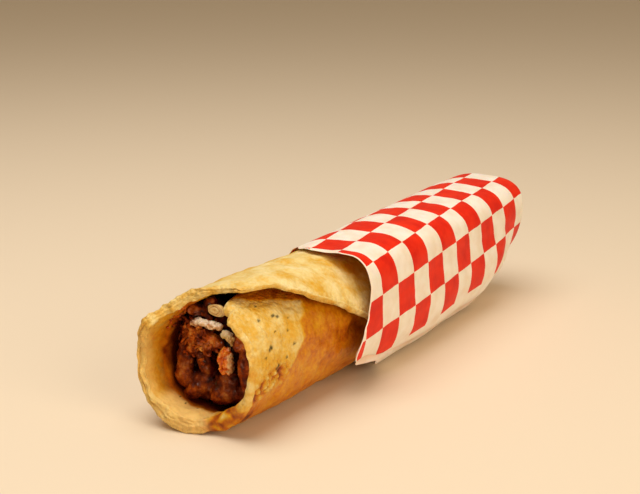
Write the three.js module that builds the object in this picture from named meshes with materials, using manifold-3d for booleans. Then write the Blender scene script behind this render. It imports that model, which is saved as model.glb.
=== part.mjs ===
// Chicken roll: a flaky flatbread rolled round a chicken filling, half of it in a check paper wrap.
// Millimetres, +Z up. +X points out of the open end, +Y is to the right for someone who looks in.
// Angles go round the roll from the top, clockwise for that person.

import * as THREE from 'three';
import { mergeVertices } from 'three/addons/utils/BufferGeometryUtils.js';
import Module from 'manifold-3d';

const wasm = await Module();
wasm.setup();

const { degToRad, smoothstep, lerp } = THREE.MathUtils;
const fullTurn = 2 * Math.PI;

// ---- Driving sizes -------------------------------------------------------------------------

const rollLength = 211;          // foremost point of the rim to the closed end of the paper
const mouthX = rollLength / 2;
const farX = -rollLength / 2;

const breadThickness = 3.8;
const breadRadius = 21;          // middle of the sheet where it starts, at the lower left
const layerPitch = 4.3;          // growth of that radius in one full turn
const startAngle = degToRad(210);
const innerEndTurn = -0.72;      // the sheet runs from here, inside under the flap ...
const flapEndTurn = 0.78;        // ... to here, outside and over the top
const breadAxisZ = 22.3;
const breadBackX = farX + 18;
const backSlantTurn = 0.45;      // past here both ends of the sheet are shorter than its middle ...
const backSlant = 100;           // ... by so much for a full turn

const bendStartX = 0;            // the roll bends a little to the left on the way to its mouth
const bendSlope = 0.034;
const bendSoftness = 20;

const paperThickness = 0.6;
const paperRadius = 25.3;
const paperAxisY = 2.5;
const paperAxisZ = 25;
const paperFrontX = 44.4;
const paperClearance = 0.55;     // between the bread and the paper
const paperSetbackUnder = 28;    // under the roll the paper's edge lies so far behind its top
const paperOverhang = 18;        // from there forwards, the bread comes down to the table
const endRounding = 5;           // round the closed end
const endTaper = 8.5;            // the closed end draws in by so much at its lower right ...
const endTaperAngle = 130;
const endTaperReach = 42;
const endTaperLength = 50;       // ... over this length
const frontDrop = 2.2;           // the front edge comes down on the bread by so much at the top ...
const frontDropLength = 43;      // ... over this length

const recessDepth = 16.5;        // foremost point of the rim to the face of the filling
const fillingFaceX = mouthX - recessDepth;
const fillingBackX = breadBackX + 8;
const fillingClearance = 1.02;
const seatGap = 0.42;            // between a loose piece and the filling it is pressed into

// ---- Helpers -------------------------------------------------------------------------------

// A smooth bump of height 1, `reach` wide to each side of `centre`.
function bump(value, centre, reach) {
  const distance = (value - centre) / reach;
  return Math.exp(-distance * distance);
}

// The same round the roll, where angles meet again after a full turn. All in degrees.
function bumpRound(angle, centre, reach) {
  const turns = (angle - degToRad(centre)) / fullTurn;
  return bump((turns - Math.round(turns)) * 360, 0, reach);
}

// Value at a place between the [place, value] stations of a list.
function along(stations, place) {
  const next = stations.findIndex(([stationPlace]) => stationPlace >= place);
  if (next === 0) return stations[0][1];
  if (next < 0) return stations[stations.length - 1][1];
  const [from, startValue] = stations[next - 1];
  const [to, endValue] = stations[next];
  return lerp(startValue, endValue, smoothstep(place, from, to));
}

// Repeatable random numbers from 0 to 1.
function seededRandom(seed) {
  let state = seed;
  return () => {
    state = (state * 1664525 + 1013904223) % 4294967296;
    return state / 4294967296;
  };
}

// Closed mesh with shared vertices, moved to where `place(vertex)` says, with its faces outwards.
function reshape(geometry, place) {
  geometry.deleteAttribute('normal');
  geometry.deleteAttribute('uv');
  const shaped = mergeVertices(geometry, 1e-5);
  const position = shaped.getAttribute('position');
  const vertex = new THREE.Vector3();
  for (let k = 0; k < position.count; k += 1) {
    const moved = place(vertex.fromBufferAttribute(position, k));
    position.setXYZ(k, moved.x, moved.y, moved.z);
  }
  const corners = shaped.index.array;
  const kept = [];
  for (let k = 0; k < corners.length; k += 3) {
    const [a, b, c] = corners.slice(k, k + 3);
    if (a !== b && b !== c && c !== a) kept.push(a, b, c);
  }
  shaped.setIndex(signedVolume(position, kept) < 0 ? kept.reverse() : kept);
  return shaped;
}

function signedVolume(position, corners) {
  const [a, b, c] = [new THREE.Vector3(), new THREE.Vector3(), new THREE.Vector3()];
  let volume = 0;
  for (let k = 0; k < corners.length; k += 3) {
    a.fromBufferAttribute(position, corners[k]);
    b.fromBufferAttribute(position, corners[k + 1]);
    c.fromBufferAttribute(position, corners[k + 2]);
    volume += a.dot(b.cross(c)) / 6;
  }
  return volume;
}

function toSolid(geometry) {
  return new wasm.Manifold(new wasm.Mesh({
    numProp: 3,
    vertProperties: new Float32Array(geometry.getAttribute('position').array),
    triVerts: new Uint32Array(geometry.index.array),
  }));
}

function toGeometry(solid) {
  const mesh = solid.getMesh();
  const geometry = new THREE.BufferGeometry();
  geometry.setAttribute('position', new THREE.BufferAttribute(mesh.vertProperties, 3));
  geometry.setIndex(new THREE.BufferAttribute(mesh.triVerts, 1));
  return geometry;
}

// A solid body along the roll. `rings` are the shares of its length where it has a ring, and
// `bodyAt(angle, share)` gives a point on its side. Both ends are closed towards their middle.
function plug(aroundSteps, rings, bodyAt) {
  const capShares = [0.35, 0.7];
  const profile = [new THREE.Vector2(0, 0)];
  capShares.forEach((share) => profile.push(new THREE.Vector2(share, 0)));
  rings.forEach((share) => profile.push(new THREE.Vector2(1, share)));
  capShares.toReversed().forEach((share) => profile.push(new THREE.Vector2(share, 1)));
  profile.push(new THREE.Vector2(0, 1));
  return reshape(new THREE.LatheGeometry(profile, aroundSteps), (vertex) => {
    const middle = bodyAt(0, vertex.y).lerp(bodyAt(Math.PI, vertex.y), 0.5);
    const side = bodyAt(Math.atan2(vertex.x, vertex.z), vertex.y);
    return middle.lerp(side, Math.hypot(vertex.x, vertex.z));
  });
}

function namedMesh(name, geometry, colour, roughness) {
  geometry.computeVertexNormals();
  const material = new THREE.MeshStandardMaterial({ color: colour, roughness, metalness: 0 });
  const mesh = new THREE.Mesh(geometry, material);
  mesh.name = name;
  return mesh;
}

// ---- The bread: one sheet, rolled up -------------------------------------------------------

// How far the sheet's front edge lies behind the foremost point of the rim, by turns of the roll.
const rimSetback = [
  [-0.72, 62],    // inner end, hidden under the flap
  [-0.6, 34],
  [-0.53, 13],    // crisp corner of the inner layer
  [-0.49, 7],
  [-0.43, 4.6],   // right side of the rim
  [-0.32, 3.5],
  [-0.17, 4.5],
  [0, 0],         // foremost point, lower left
  [0.17, 1.8],
  [0.27, 0.8],
  [0.31, 7],      // the flap draws back at the upper left
  [0.37, 12.5],
  [0.465, 16],
  [0.51, 30],
  [0.542, 38],
];
const flapSlantTurn = 0.542;     // from here on the flap's free edge slants back ...
const flapSlant = 290;           // ... by so much for a full turn

function breadFrontX(turn) {
  return mouthX - along(rimSetback, turn) - Math.max(0, turn - flapSlantTurn) * flapSlant;
}

function breadBackEdgeX(turn) {
  return breadBackX + Math.max(0, Math.abs(turn) - backSlantTurn) * backSlant;
}

// The flap stands off the inner layer along its free edge, which leaves a slit between them. The
// paper squeezes both layers a little at the upper left, most of all behind its front edge.
function breadRadiusAt(turn, x) {
  const flapLift = 2.8 * bump(x, 77, 19) * smoothstep(turn, 0.38, 0.5);
  const upperLeft = bump(turn, 0.3, 0.13) + bump(turn + 1, 0.3, 0.13);
  const squeeze = upperLeft * (1.3 * (1 - smoothstep(x, 5, 50)) + 1.5 * bump(x, 14, 22));
  const innerDip = 0.9 * bump(x, 80, 18) * bump(turn, -0.5, 0.07);
  const waves = 0.2 * Math.sin(turn * 19 + x * 0.07) + 0.15 * Math.sin(x * 0.16 - turn * 11);
  return breadRadius + layerPitch * turn + flapLift - innerDip - squeeze + waves;
}

function breadAxisY(x) {
  const reach = x - bendStartX;
  return paperAxisY - bendSlope * (reach + Math.hypot(reach, bendSoftness));
}

// The roll lies on the table at its mouth, and on the paper further back.
function floorUnderBread(x) {
  const edgeX = paperFrontX - paperSetbackUnder;
  const onPaper = 1 - smoothstep(x, edgeX, edgeX + paperOverhang);
  return onPaper * (paperThickness + paperClearance);
}

// Point on the roll at an angle, a distance from its axis and a length, flat where it rests.
function onRoll(angle, radius, x) {
  const floor = floorUnderBread(x);
  const z = breadAxisZ + floor + radius * Math.cos(angle);
  return new THREE.Vector3(x, breadAxisY(x) + radius * Math.sin(angle), Math.max(z, floor));
}

function makeBread() {
  const lengthSteps = 22;
  const turnSteps = 54;
  const rimRounding = 0.8;
  const stepGrowth = 1.35;       // steps get longer from the mouth to the far end
  const sheet = new THREE.BoxGeometry(1, 1, 1, lengthSteps, turnSteps, 2);
  return reshape(sheet, (corner) => {
    const turn = lerp(innerEndTurn, flapEndTurn, corner.y + 0.5);
    const share = 1 - (0.5 - corner.x) ** stepGrowth;
    const onRim = Math.abs(corner.x) > 0.499 && Math.abs(corner.z) < 0.01;
    const bulge = onRim ? rimRounding * Math.sign(corner.x) : 0;
    const x = lerp(breadBackEdgeX(turn), breadFrontX(turn), share) + bulge;
    const radius = breadRadiusAt(turn, x) + corner.z * breadThickness;
    return onRoll(startAngle + turn * fullTurn, radius, x);
  });
}

// ---- The paper wrap ------------------------------------------------------------------------

// Outside of the bread round its own axis. Past the end of the flap it is one layer lower, and
// behind the back edge of the outer layer as well. Behind all of them the space narrows freely.
function breadOutside(angle, x) {
  const turns = (angle - startAngle) / fullTurn;
  const turn = turns - Math.floor(turns);
  const outerTurn = turn > flapEndTurn + 0.04 ? turn - 1 : Math.min(turn, flapEndTurn);
  const edgeX = breadBackEdgeX(outerTurn);
  const pastOuterLayer = 1 - smoothstep(x, edgeX - 25, edgeX - 8);
  const pastBread = 1 - smoothstep(x, farX, breadBackX - 3);
  const drop = layerPitch * pastOuterLayer + endTaper * pastBread;
  return breadRadiusAt(outerTurn, x) + breadThickness / 2 - drop;
}

// The same outside, as seen from the paper's own axis.
function breadReach(angle, x) {
  const offsetY = breadAxisY(x) - paperAxisY;
  const offsetZ = breadAxisZ + floorUnderBread(x) - paperAxisZ;
  const towards = offsetY * Math.sin(angle) + offsetZ * Math.cos(angle);
  let reach = paperRadius;
  for (let pass = 0; pass < 3; pass += 1) {
    const y = reach * Math.sin(angle) - offsetY;
    const z = reach * Math.cos(angle) - offsetZ;
    const radius = breadOutside(Math.atan2(y, z), x);
    reach = towards + Math.sqrt(towards ** 2 - offsetY ** 2 - offsetZ ** 2 + radius ** 2);
  }
  return reach;
}

// How far the closed end is drawn in at its lower right.
function endTaperAt(angle, x) {
  const left = 1 - Math.min((x - farX) / endTaperLength, 1);
  return endTaper * bumpRound(angle, endTaperAngle, endTaperReach) * left ** 2;
}

// How far the paper comes down on the bread at the top of its front edge.
function frontDropAt(angle, x) {
  const backX = paperFrontX - 5 - frontDropLength;
  return frontDrop * bumpRound(angle, 5, 24) * smoothstep(x, backX, backX + frontDropLength);
}

// Round, with a soft shoulder at the upper right, slack at both lower corners, and drawn tight
// at the upper left.
function paperRadiusAt(angle, x) {
  const shoulder = 5.4 * bumpRound(angle, 47, 23);
  const lowerRight = 2.2 * bumpRound(angle, 150, 17);
  const lowerLeft = 1.3 * bumpRound(angle, 238, 24);
  const upperLeft = 2.6 * bumpRound(angle, 315, 35);
  const round = paperRadius + shoulder + lowerRight + lowerLeft - upperLeft;
  const loose = round - endTaperAt(angle, x) - frontDropAt(angle, x);
  const tight = breadReach(angle, x) + paperClearance + paperThickness;
  const blend = 1;
  return (loose + tight + Math.hypot(loose - tight, blend)) / 2;
}

// How far the front edge of the paper lies before the place where it crosses the top, by degrees.
const paperEdgeShift = [
  [-90, -22],
  [-50, -18],
  [-29, -13],     // it slants back over the upper left
  [-15, -6.5],
  [0, -4.5],
  [30, -3.5],
  [60, -1.5],
  [80, 0.5],
  [92, 3.5],
  [112, 7],       // a loose corner at the lower right
  [122, 4],
  [133, -16],     // under the roll it lies further back
  [150, -27],
  [215, -29],
  [270, -22],
];

function paperEdgeX(angle) {
  const degrees = THREE.MathUtils.radToDeg(angle);
  return paperFrontX + along(paperEdgeShift, degrees < -90 ? degrees + 360 : degrees);
}

function endRoundingAt(fromBack) {
  const left = endRounding - Math.min(fromBack, endRounding);
  return endRounding - Math.sqrt(endRounding ** 2 - left ** 2);
}

function paperBody(shrink, extraLength) {
  const rings = [0, 0.01, 0.03, 0.06, 0.11, 0.17, 0.23, 0.29, 0.35, 0.43, 0.54, 0.66, 0.78, 0.86, 0.93, 1];
  return plug(42, rings, (angle, share) => {
    const backX = farX + shrink;
    const extra = share === 1 ? extraLength : 0;
    const x = lerp(backX, paperEdgeX(angle), share) + extra;
    const radius = paperRadiusAt(angle, x) - shrink - endRoundingAt(x - backX);
    const z = Math.max(paperAxisZ + radius * Math.cos(angle), shrink);
    return new THREE.Vector3(x, paperAxisY + radius * Math.sin(angle), z);
  });
}

// A cup: the space for the food goes out through its front and is taken from it.
function makePaper() {
  const outOfFront = 8;
  const inside = paperBody(paperThickness, outOfFront);
  return toGeometry(toSolid(paperBody(0, 0)).subtract(toSolid(inside)));
}

// ---- The filling ---------------------------------------------------------------------------

// Free radius inside the bread: its outer layer, or the inner layer where that one reaches.
function insideRadius(angle, x) {
  const turns = (angle - startAngle) / fullTurn;
  const turn = turns - Math.floor(turns);
  const half = breadThickness / 2 + fillingClearance;
  const outer = breadRadiusAt(Math.min(turn, flapEndTurn), x) - half;
  const innerTurn = Math.max(turn - 1, innerEndTurn);
  const inner = breadRadiusAt(innerTurn, x) - half;
  const clearX = Math.max(breadFrontX(innerTurn + 0.035) + 5, fillingFaceX - 12);
  const behindEdge = 1 - smoothstep(x, clearX, clearX + 8);
  const pastInnerEnd = smoothstep(turn, 1 + innerEndTurn - 0.1, 1 + innerEndTurn - 0.03);
  return turn > flapEndTurn ? inner : lerp(outer, inner, behindEdge * pastInnerEnd);
}

function makeFillingCore() {
  const rings = [0, 0.03, 0.1, 0.25, 0.42, 0.58, 0.72, 0.83, 0.9, 0.93, 0.96, 0.985, 1];
  const edgeRounding = 3;
  return plug(32, rings, (angle, share) => {
    const x = lerp(fillingBackX, fillingFaceX + 1.2 * Math.sin(3 * angle + 1), share);
    const fromEnd = Math.min(fillingFaceX - x, x - fillingBackX, edgeRounding);
    const rounding = edgeRounding * (1 - Math.max(fromEnd, 0) / edgeRounding) ** 2;
    return onRoll(angle, insideRadius(angle, x) - rounding, x);
  });
}

// A lump of torn meat: an icosahedron stretched to its half sizes, turned and made uneven.
function makeLump(halfSizes, turned, centre, detail = 1) {
  return reshape(new THREE.IcosahedronGeometry(1, detail), (vertex) => {
    const uneven = 1 + 0.14 * Math.sin(5 * vertex.x + 3 * vertex.z) * Math.cos(4 * vertex.y);
    return vertex.clone().multiply(halfSizes).multiplyScalar(uneven).applyEuler(turned).add(centre);
  });
}

// Torn pieces that show on the face of the filling, in two rings round its middle.
function makeLumps() {
  const random = seededRandom(11);
  const lumps = [];
  const rows = [{ count: 4, share: 0.36 }, { count: 9, share: 0.73 }];
  rows.forEach(({ count, share }, row) => {
    for (let k = 0; k < count; k += 1) {
      const angle = (k + 0.5 * row + 0.3 * random()) * (fullTurn / count);
      const halfSizes = new THREE.Vector3(2.6 + random(), 2 + random(), 3 + 1.3 * random());
      const turned = new THREE.Euler(fullTurn * random(), 0.6 * random(), 0.6 * random());
      const radius = insideRadius(angle, fillingFaceX - 14) * share;
      const centre = onRoll(angle, radius, fillingFaceX - 0.6 + 1.4 * random());
      lumps.push(makeLump(halfSizes, turned, centre));
    }
  });
  return lumps;
}

// Loose pieces that stand out of the filling: half sizes, turn and place of each.
const looseSizes = {
  chicken_chunk: { half: [3, 2.8, 4.9], turned: [0.15, 0.1, 0.1], centre: [91.6, -0.7, 22.3] },
  onion_chunk: { half: [1.9, 3.1, 2.1], turned: [-0.75, 0, 0], centre: [92.1, 0.6, 30.6] },
  onion_strip: { half: [1.7, 6.3, 1.8], turned: [0.08, 0, -0.1], centre: [91.6, -8.6, 34] },
};

function makeLoosePiece(name, extra = 0) {
  const { half, turned, centre } = looseSizes[name];
  const halfSizes = new THREE.Vector3(...half).addScalar(extra);
  return makeLump(halfSizes, new THREE.Euler(...turned), new THREE.Vector3(...centre), 2);
}

// A slice cut across an onion: an oval ring.
function makeOnionSlice(extra = 0) {
  const ring = new THREE.TorusGeometry(1.9, 0.95 + extra, 8, 20);
  const tilt = new THREE.Euler(0.2, Math.PI / 2 - 0.15, 0);
  const centre = new THREE.Vector3(91.3, -4, 39.1);
  return reshape(ring, (vertex) => vertex.clone().multiply(new THREE.Vector3(0.72, 1.25, 1))
    .applyEuler(tilt).add(centre));
}

function makeFilling() {
  const pieces = makeLumps().map(toSolid);
  const heap = pieces.reduce((whole, piece) => whole.add(piece), toSolid(makeFillingCore()));
  const seats = Object.keys(looseSizes).map((name) => makeLoosePiece(name, seatGap));
  seats.push(makeOnionSlice(seatGap));
  return toGeometry(seats.map(toSolid).reduce((whole, seat) => whole.subtract(seat), heap));
}

// ---- The whole roll ------------------------------------------------------------------------

const roll = new THREE.Group();
roll.add(namedMesh('flatbread', makeBread(), 0xe3bb6a, 0.6));
roll.add(namedMesh('paper_wrap', makePaper(), 0xe9452a, 0.45));
roll.add(namedMesh('chicken_filling', makeFilling(), 0x6e250c, 0.35));
roll.add(namedMesh('chicken_chunk', makeLoosePiece('chicken_chunk'), 0xd9701f, 0.35));
roll.add(namedMesh('onion_chunk', makeLoosePiece('onion_chunk'), 0xd8c08a, 0.4));
roll.add(namedMesh('onion_strip', makeLoosePiece('onion_strip'), 0xe9d2b4, 0.4));
roll.add(namedMesh('onion_slice', makeOnionSlice(), 0xdcb878, 0.4));

// The origin is under the middle of the whole roll.
const box = new THREE.Box3().setFromObject(roll);
const middle = box.getCenter(new THREE.Vector3());
roll.position.set(-middle.x, -middle.y, -box.min.z);
roll.updateMatrixWorld(true);

export default roll;
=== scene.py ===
# Chicken roll in a check paper wrap, seen from its open end. Blender works in metres, +Z up.
# The shapes are worked out in millimetres: +X out of the open end, +Y right for someone looking in,
# angles from the top, clockwise for that person. A turn is a full round of the rolled sheet.
import math
import random

import bpy
import numpy as np
from mathutils import Euler, Matrix, Vector, noise


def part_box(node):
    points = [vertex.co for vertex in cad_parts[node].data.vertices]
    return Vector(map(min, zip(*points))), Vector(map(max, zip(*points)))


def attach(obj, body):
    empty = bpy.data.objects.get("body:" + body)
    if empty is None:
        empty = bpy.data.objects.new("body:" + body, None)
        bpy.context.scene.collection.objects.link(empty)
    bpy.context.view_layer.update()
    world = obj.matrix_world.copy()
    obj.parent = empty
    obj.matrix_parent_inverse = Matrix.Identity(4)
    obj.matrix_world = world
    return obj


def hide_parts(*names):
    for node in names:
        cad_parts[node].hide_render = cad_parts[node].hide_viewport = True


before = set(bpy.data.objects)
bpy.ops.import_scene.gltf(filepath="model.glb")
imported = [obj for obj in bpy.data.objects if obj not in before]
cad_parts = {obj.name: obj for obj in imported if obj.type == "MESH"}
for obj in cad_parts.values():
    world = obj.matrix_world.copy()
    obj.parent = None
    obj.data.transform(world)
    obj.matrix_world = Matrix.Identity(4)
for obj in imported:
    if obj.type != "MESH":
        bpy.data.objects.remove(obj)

mm = 0.001
fullTurn = 2 * math.pi
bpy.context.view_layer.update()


# Small tools

def useOnly(piece):
    bpy.ops.object.select_all(action="DESELECT")
    piece.select_set(True)
    bpy.context.view_layer.objects.active = piece


def pointsOf(piece):
    points = np.empty(len(piece.data.vertices) * 3)
    piece.data.vertices.foreach_get("co", points)
    return points.reshape(-1, 3)


def movePoints(piece, points):
    piece.data.vertices.foreach_set("co", np.asarray(points, float).ravel())
    piece.data.update()


def smoothStep(value, low, high):
    t = np.clip((value - low) / (high - low), 0, 1)
    return t * t * (3 - 2 * t)


def bump(value, centre, reach):
    return np.exp(-((value - centre) / reach) ** 2)


def bumpRound(angle, centre, reach):  # all the way round, centre and reach in degrees
    off = (np.degrees(angle) - centre + 180) % 360 - 180
    return np.exp(-(off / reach) ** 2)


def plateau(value, rise, full, fall, end):  # up from 0 to 1, and down again
    return smoothStep(value, rise, full) * (1 - smoothStep(value, fall, end))


def alongStations(stations, place):  # smooth from one [place, value] to the next
    places, values = np.array(stations, float).T
    k = np.clip(np.searchsorted(places, place), 1, len(places) - 1)
    step = smoothStep(place, places[k - 1], places[k])
    return values[k - 1] + (values[k] - values[k - 1]) * step


def overPoints(function, a, b, c):
    flat = np.broadcast_arrays(np.asarray(a, float), b, c)
    values = [function(p) for p in zip(*(part.ravel() for part in flat))]
    return np.array(values).reshape(flat[0].shape)


def softNoise(a, b, c=0.0):  # -1 to 1, one wave or so per unit
    return overPoints(noise.noise, a, b, c)


def cellNoise(a, b, c=0.0):  # distance to the nearest of scattered points
    return overPoints(lambda p: noise.voronoi(p)[0][0], a, b, c)


def makeGrid(name, columns, rows):
    # a flat grid, and the column and row number of each of its points
    bpy.ops.mesh.primitive_grid_add(x_subdivisions=columns, y_subdivisions=rows, size=1)
    piece = bpy.context.object
    piece.name = piece.data.name = name
    points = pointsOf(piece)
    column = np.unique(points[:, 0].round(6), return_inverse=True)[1]
    row = np.unique(points[:, 1].round(6), return_inverse=True)[1]
    return piece, column, row


def turnOutwards(piece):
    useOnly(piece)
    bpy.ops.object.mode_set(mode="EDIT")
    bpy.ops.mesh.select_all(action="SELECT")
    bpy.ops.mesh.normals_make_consistent(inside=False)
    bpy.ops.object.mode_set(mode="OBJECT")


def closeUp(piece, gap=0.002 * mm):
    # weld what meets, fill open ends, turn the faces outwards
    useOnly(piece)
    bpy.ops.object.mode_set(mode="EDIT")
    bpy.ops.mesh.select_all(action="SELECT")
    bpy.ops.mesh.remove_doubles(threshold=gap)
    bpy.ops.mesh.dissolve_degenerate(threshold=gap)
    bpy.ops.mesh.select_all(action="DESELECT")
    bpy.ops.mesh.select_mode(type="EDGE")
    bpy.ops.mesh.select_non_manifold(extend=False, use_wire=False, use_multi_face=False,
                                     use_non_contiguous=False, use_verts=False)
    bpy.ops.mesh.fill(use_beauty=False)
    bpy.ops.object.mode_set(mode="OBJECT")
    turnOutwards(piece)


def applyAll(piece):
    useOnly(piece)
    for modifier in list(piece.modifiers):
        bpy.ops.object.modifier_apply(modifier=modifier.name)


def finishPiece(piece, mat, node):
    # smooth shading, finish, body and the solid that it stands for
    useOnly(piece)
    bpy.ops.object.shade_smooth()
    piece.data.materials.append(mat)
    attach(piece, "root")
    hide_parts(node)
    print(piece.name, len(piece.data.polygons), "faces")


def paintPoints(piece, name, red, green, blue):
    # three amounts from 0 to 1 at each point, for the materials
    layer = piece.data.attributes.new(name, "FLOAT_COLOR", "POINT")
    values = np.stack([red, green, blue, np.ones_like(red)], 1)
    layer.data.foreach_set("color", np.clip(values, 0, 1).ravel())


def paintValue(piece, name, value):  # and a single one
    layer = piece.data.attributes.new(name, "FLOAT", "POINT")
    layer.data.foreach_set("value", np.clip(value, 0, 1))


# Materials

def colour(code):
    channels = [int(code[k:k + 2], 16) / 255 for k in (1, 3, 5)]
    return [c / 12.92 if c < 0.04045 else ((c + 0.055) / 1.055) ** 2.4 for c in channels] + [1]


def newMaterial(name):
    mat = bpy.data.materials.new(name)
    mat.use_nodes = True
    mat.node_tree.nodes.clear()
    return mat


def addNode(mat, kind, inputs=None, stops=None, **settings):
    tree = mat.node_tree
    node = tree.nodes.new("ShaderNode" + kind)
    for name, value in settings.items():
        setattr(node, name, value)
    for name, value in (inputs or {}).items():
        if isinstance(value, bpy.types.NodeSocket):
            tree.links.new(value, node.inputs[name])
        else:
            node.inputs[name].default_value = value
    if stops:
        ramp = node.color_ramp.elements
        while len(ramp) < len(stops):
            ramp.new(0.5)
        for element, (place, code) in zip(ramp, stops):
            element.position = place
            element.color = colour(code)
    return node


def addMix(mat, share, first, second):
    return addNode(mat, "Mix", {0: share, 6: first, 7: second}, data_type="RGBA").outputs[2]


def addMath(mat, operation, *values):
    return addNode(mat, "Math", dict(enumerate(values)), operation=operation).outputs[0]


def addRange(mat, value, low, high, newLow=0.0, newHigh=1.0):
    ends = {0: value, 1: low, 2: high, 3: newLow, 4: newHigh}
    return addNode(mat, "MapRange", ends).outputs[0]


def addRamp(mat, value, stops):
    return addNode(mat, "ValToRGB", {0: value}, stops).outputs[0]


def addNoise(mat, size, detail, roughness=0.5):  # size of its spots in millimetres
    place = addNode(mat, "TexCoord").outputs["Object"]
    look = {"Vector": place, "Scale": 1 / (size * mm), "Detail": detail, "Roughness": roughness}
    return addNode(mat, "TexNoise", look).outputs["Fac"]


def addBump(mat, height, depth, strength):  # depth in millimetres
    relief = {"Height": height, "Distance": depth * mm, "Strength": strength}
    return addNode(mat, "Bump", relief).outputs[0]


def readPaint(mat, name):  # the three amounts of paintPoints
    paint = addNode(mat, "Attribute", attribute_name=name).outputs["Color"]
    return addNode(mat, "SeparateColor", {0: paint}).outputs


def readValue(mat, name):
    return addNode(mat, "Attribute", attribute_name=name).outputs["Fac"]


def addSurface(mat, inputs):
    surface = addNode(mat, "BsdfPrincipled", inputs)
    addNode(mat, "OutputMaterial", {"Surface": surface.outputs[0]})
    return mat


# The rolled sheet: the sizes of its solid

roll = {
    "length": 211,
    "radius": 21,  # middle of the sheet where it starts, at the lower left
    "pitch": 4.3,  # growth of that radius in a turn
    "thickness": 3.8,
    "start": math.radians(210),
    "innerEnd": -0.72,
    "flapEnd": 0.78,
    "axisZ": 22.3,
    "axisY": 2.5,
    "bendSlope": 0.034,
    "bendSoftness": 20,
    "backGap": 18,  # from the closed end of the paper to the back edge of the sheet
    "backSlantTurn": 0.45,
    "backSlant": 100,
    "lift": 1.15,  # the paper below raises the sheet by so much ...
    "liftEnds": (16.4, 34.4),  # ... and no more in front of here
    "flapLift": (2.8, 77, 19),  # height, middle and reach along the roll
    "innerDip": (0.9, 80, 18),
    "squeezeFar": (1.3, 5, 50),  # at the upper left: depth, and where it fades out
    "squeezeNear": (1.5, 14, 22),
    "shift": (-0.3995, -0.7795),  # from the middle of the roll to the middle of its box
    "rimSetback": [
        (-0.72, 62), (-0.6, 34), (-0.53, 13), (-0.49, 7), (-0.43, 4.6), (-0.32, 3.5),
        (-0.17, 4.5), (0, 0), (0.17, 1.8), (0.27, 0.8), (0.31, 7), (0.37, 12.5), (0.465, 16),
        (0.51, 30), (0.542, 38),
    ],
    "flapSlantTurn": 0.542,
    "flapSlant": 290,
}
mouthX = roll["length"] / 2
farX = -mouthX
breadBackX = farX + roll["backGap"]


def breadFrontX(turn):
    slanted = np.maximum(0, turn - roll["flapSlantTurn"]) * roll["flapSlant"]
    return mouthX - alongStations(roll["rimSetback"], turn) - slanted


def breadBackEdgeX(turn):
    return breadBackX + np.maximum(0, np.abs(turn) - roll["backSlantTurn"]) * roll["backSlant"]


def swell(x, height, middle, reach):
    return height * bump(x, middle, reach)


def breadRadiusAt(turn, x):
    flapLift = swell(x, *roll["flapLift"]) * smoothStep(turn, 0.38, 0.5)
    innerDip = swell(x, *roll["innerDip"]) * bump(turn, -0.5, 0.07)
    upperLeft = bump(turn, 0.3, 0.13) + bump(turn + 1, 0.3, 0.13)
    depth, fadeFrom, fadeTo = roll["squeezeFar"]
    squeeze = depth * (1 - smoothStep(x, fadeFrom, fadeTo)) + swell(x, *roll["squeezeNear"])
    waves = 0.2 * np.sin(turn * 19 + x * 0.07) + 0.15 * np.sin(x * 0.16 - turn * 11)
    middle = roll["radius"] + roll["pitch"] * turn + flapLift - innerDip
    return middle - upperLeft * squeeze + waves


def breadAxisY(x):
    return roll["axisY"] - roll["bendSlope"] * (x + np.hypot(x, roll["bendSoftness"]))


def floorUnderBread(x):
    return (1 - smoothStep(x, *roll["liftEnds"])) * roll["lift"]


def place(x, y, z):
    shiftX, shiftY = roll["shift"]
    return np.stack(np.broadcast_arrays(x + shiftX, y + shiftY, z), -1) * mm


def onRoll(angle, radius, x):
    floor = floorUnderBread(x)
    z = np.maximum(roll["axisZ"] + floor + radius * np.cos(angle), floor)
    return place(x, breadAxisY(x) + radius * np.sin(angle), z)


# Flatbread: one closed sheet whose cross-section runs out over the top side, round the rim and back

bread = {
    "turnSteps": 400,
    "outerSteps": 140,
    "outerFine": 76,  # so much of the outside behind the rim is finely divided
    "innerSteps": 62,
    "innerFine": 26,
    "fineShare": 0.8,
    "rimSteps": 16,
    "rimBulge": 0.8,
    "smoothBulge": 1.2,  # more of it where the rim is rolled over smoothly
    "splitDepth": 0.6,  # the gap between two layers that shows on the rim
}
blisters = [  # turn, x, radius and height of the large blisters
    (-0.42, 84, 4.5, 0.55), (-0.36, 90, 3.6, 0.45), (-0.47, 79, 4.2, 0.5), (-0.39, 76, 3.8, 0.4),
    (-0.34, 82, 3.2, 0.4), (-0.5, 86, 2.6, 0.35), (-0.43, 92, 2.8, 0.35), (-0.26, 66, 4.6, 0.4),
    (-0.23, 84, 4.2, 0.35), (-0.29, 52, 4.0, 0.4), (0.47, 60, 4.4, 0.5), (0.5, 48, 4.8, 0.5),
    (0.53, 58, 3.8, 0.4), (0.44, 74, 3.6, 0.35), (0.56, 46, 3.4, 0.35), (0.42, 52, 4.2, 0.45),
    (0.33, 60, 5.0, 0.45), (0.2, 72, 5.2, 0.5), (0.1, 56, 5.0, 0.5), (0.26, 86, 4.4, 0.4),
    (0.06, 84, 4.6, 0.45), (0.15, 96, 3.6, 0.35),
]
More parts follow.
